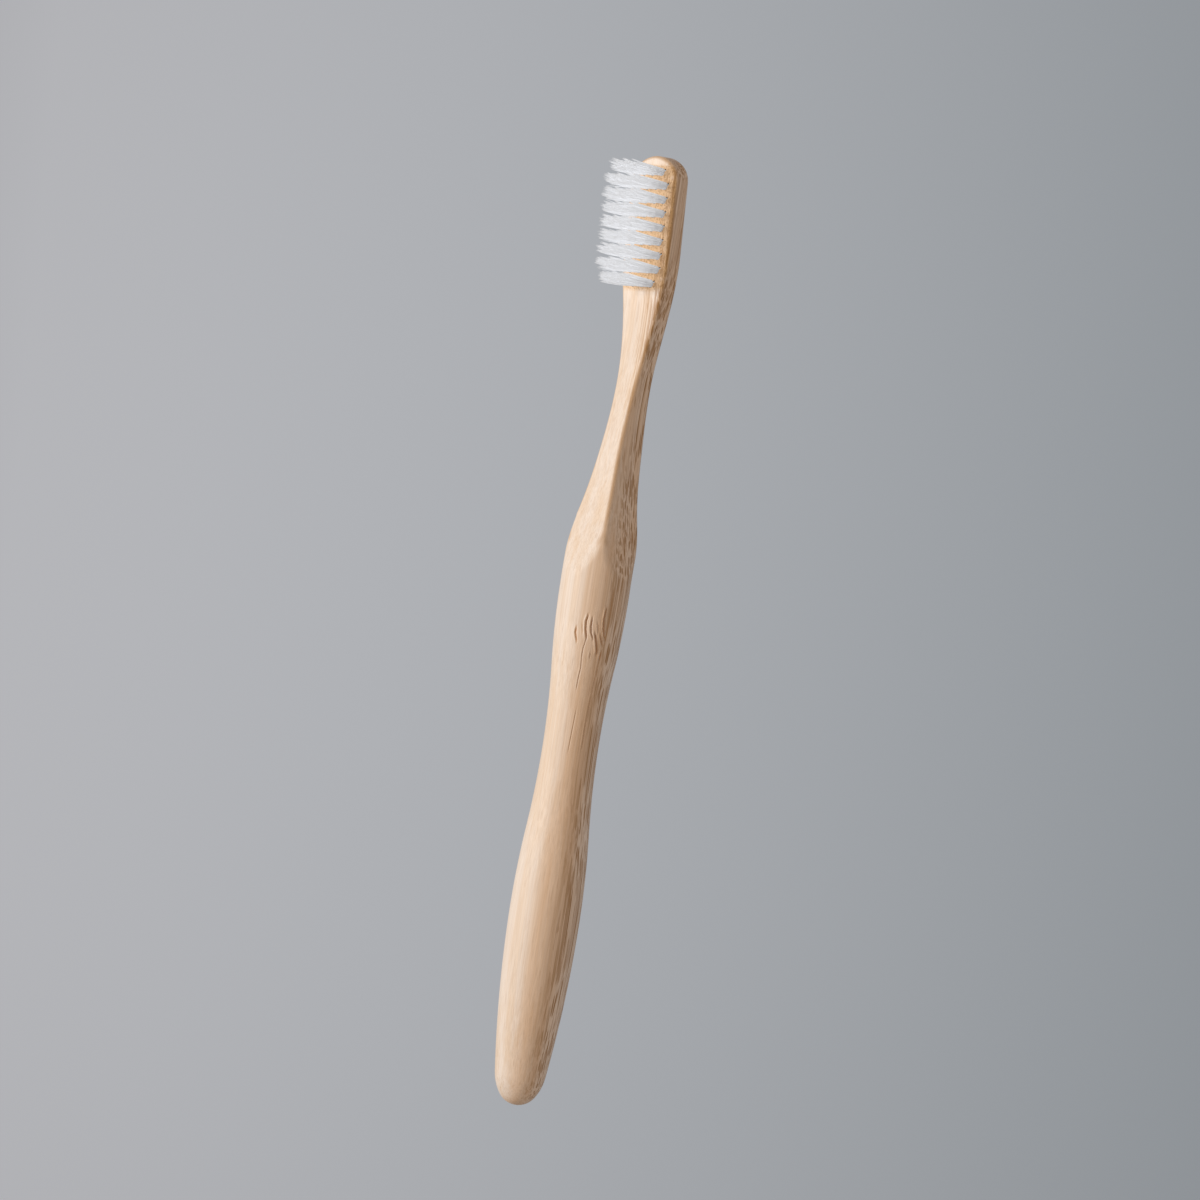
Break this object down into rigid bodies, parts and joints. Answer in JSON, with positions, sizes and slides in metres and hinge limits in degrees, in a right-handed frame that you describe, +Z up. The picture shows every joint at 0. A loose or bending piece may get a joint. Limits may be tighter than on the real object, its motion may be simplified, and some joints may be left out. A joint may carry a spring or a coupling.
{
  "type": "manual toothbrush",
  "caption": "Bamboo manual toothbrush: round turned grip with a waist, flat milled neck and head, and straight rows of flat-trimmed bristle tufts.",
  "frame": {"origin": "middle of the underside of the brush's box, on the surface that the brush lies on", "axes": "+X along the length to the tip of the head, +Z up, the way the bristles point, Y across the width"},
  "size_m": [0.19, 0.014, 0.0179],
  "materials": {
    "bamboo": "sanded, thin satin oil",
    "bristle": "satin nylon filament",
    "anchor": "plain sheared strip"
  },
  "bodies": {
    "root": {"handle": "bamboo", "tuft_row1_col1": "bristle", "tuft_row1_col2": "bristle", "tuft_row1_col3": "bristle", "tuft_row2_col1": "bristle", "tuft_row2_col2": "bristle", "tuft_row2_col3": "bristle", "tuft_row2_col4": "bristle", "tuft_row3_col1": "bristle", "tuft_row3_col2": "bristle", "tuft_row3_col3": "bristle", "tuft_row3_col4": "bristle", "tuft_row4_col1": "bristle", "tuft_row4_col2": "bristle", "tuft_row4_col3": "bristle", "tuft_row4_col4": "bristle", "tuft_row5_col1": "bristle", "tuft_row5_col2": "bristle", "tuft_row5_col3": "bristle", "tuft_row5_col4": "bristle", "tuft_row6_col1": "bristle", "tuft_row6_col2": "bristle", "tuft_row6_col3": "bristle", "tuft_row6_col4": "bristle", "tuft_row7_col1": "bristle", "tuft_row7_col2": "bristle", "tuft_row7_col3": "bristle", "tuft_row7_col4": "bristle", "tuft_row8_col1": "bristle", "tuft_row8_col2": "bristle", "tuft_row8_col3": "bristle", "tuft_row8_col4": "bristle", "tuft_row9_col1": "bristle", "tuft_row9_col2": "bristle", "tuft_row9_col3": "bristle", "anchors_row1": "anchor", "anchors_row2": "anchor", "anchors_row3": "anchor", "anchors_row4": "anchor", "anchors_row5": "anchor", "anchors_row6": "anchor", "anchors_row7": "anchor", "anchors_row8": "anchor", "anchors_row9": "anchor"}
  },
  "joints": []
}
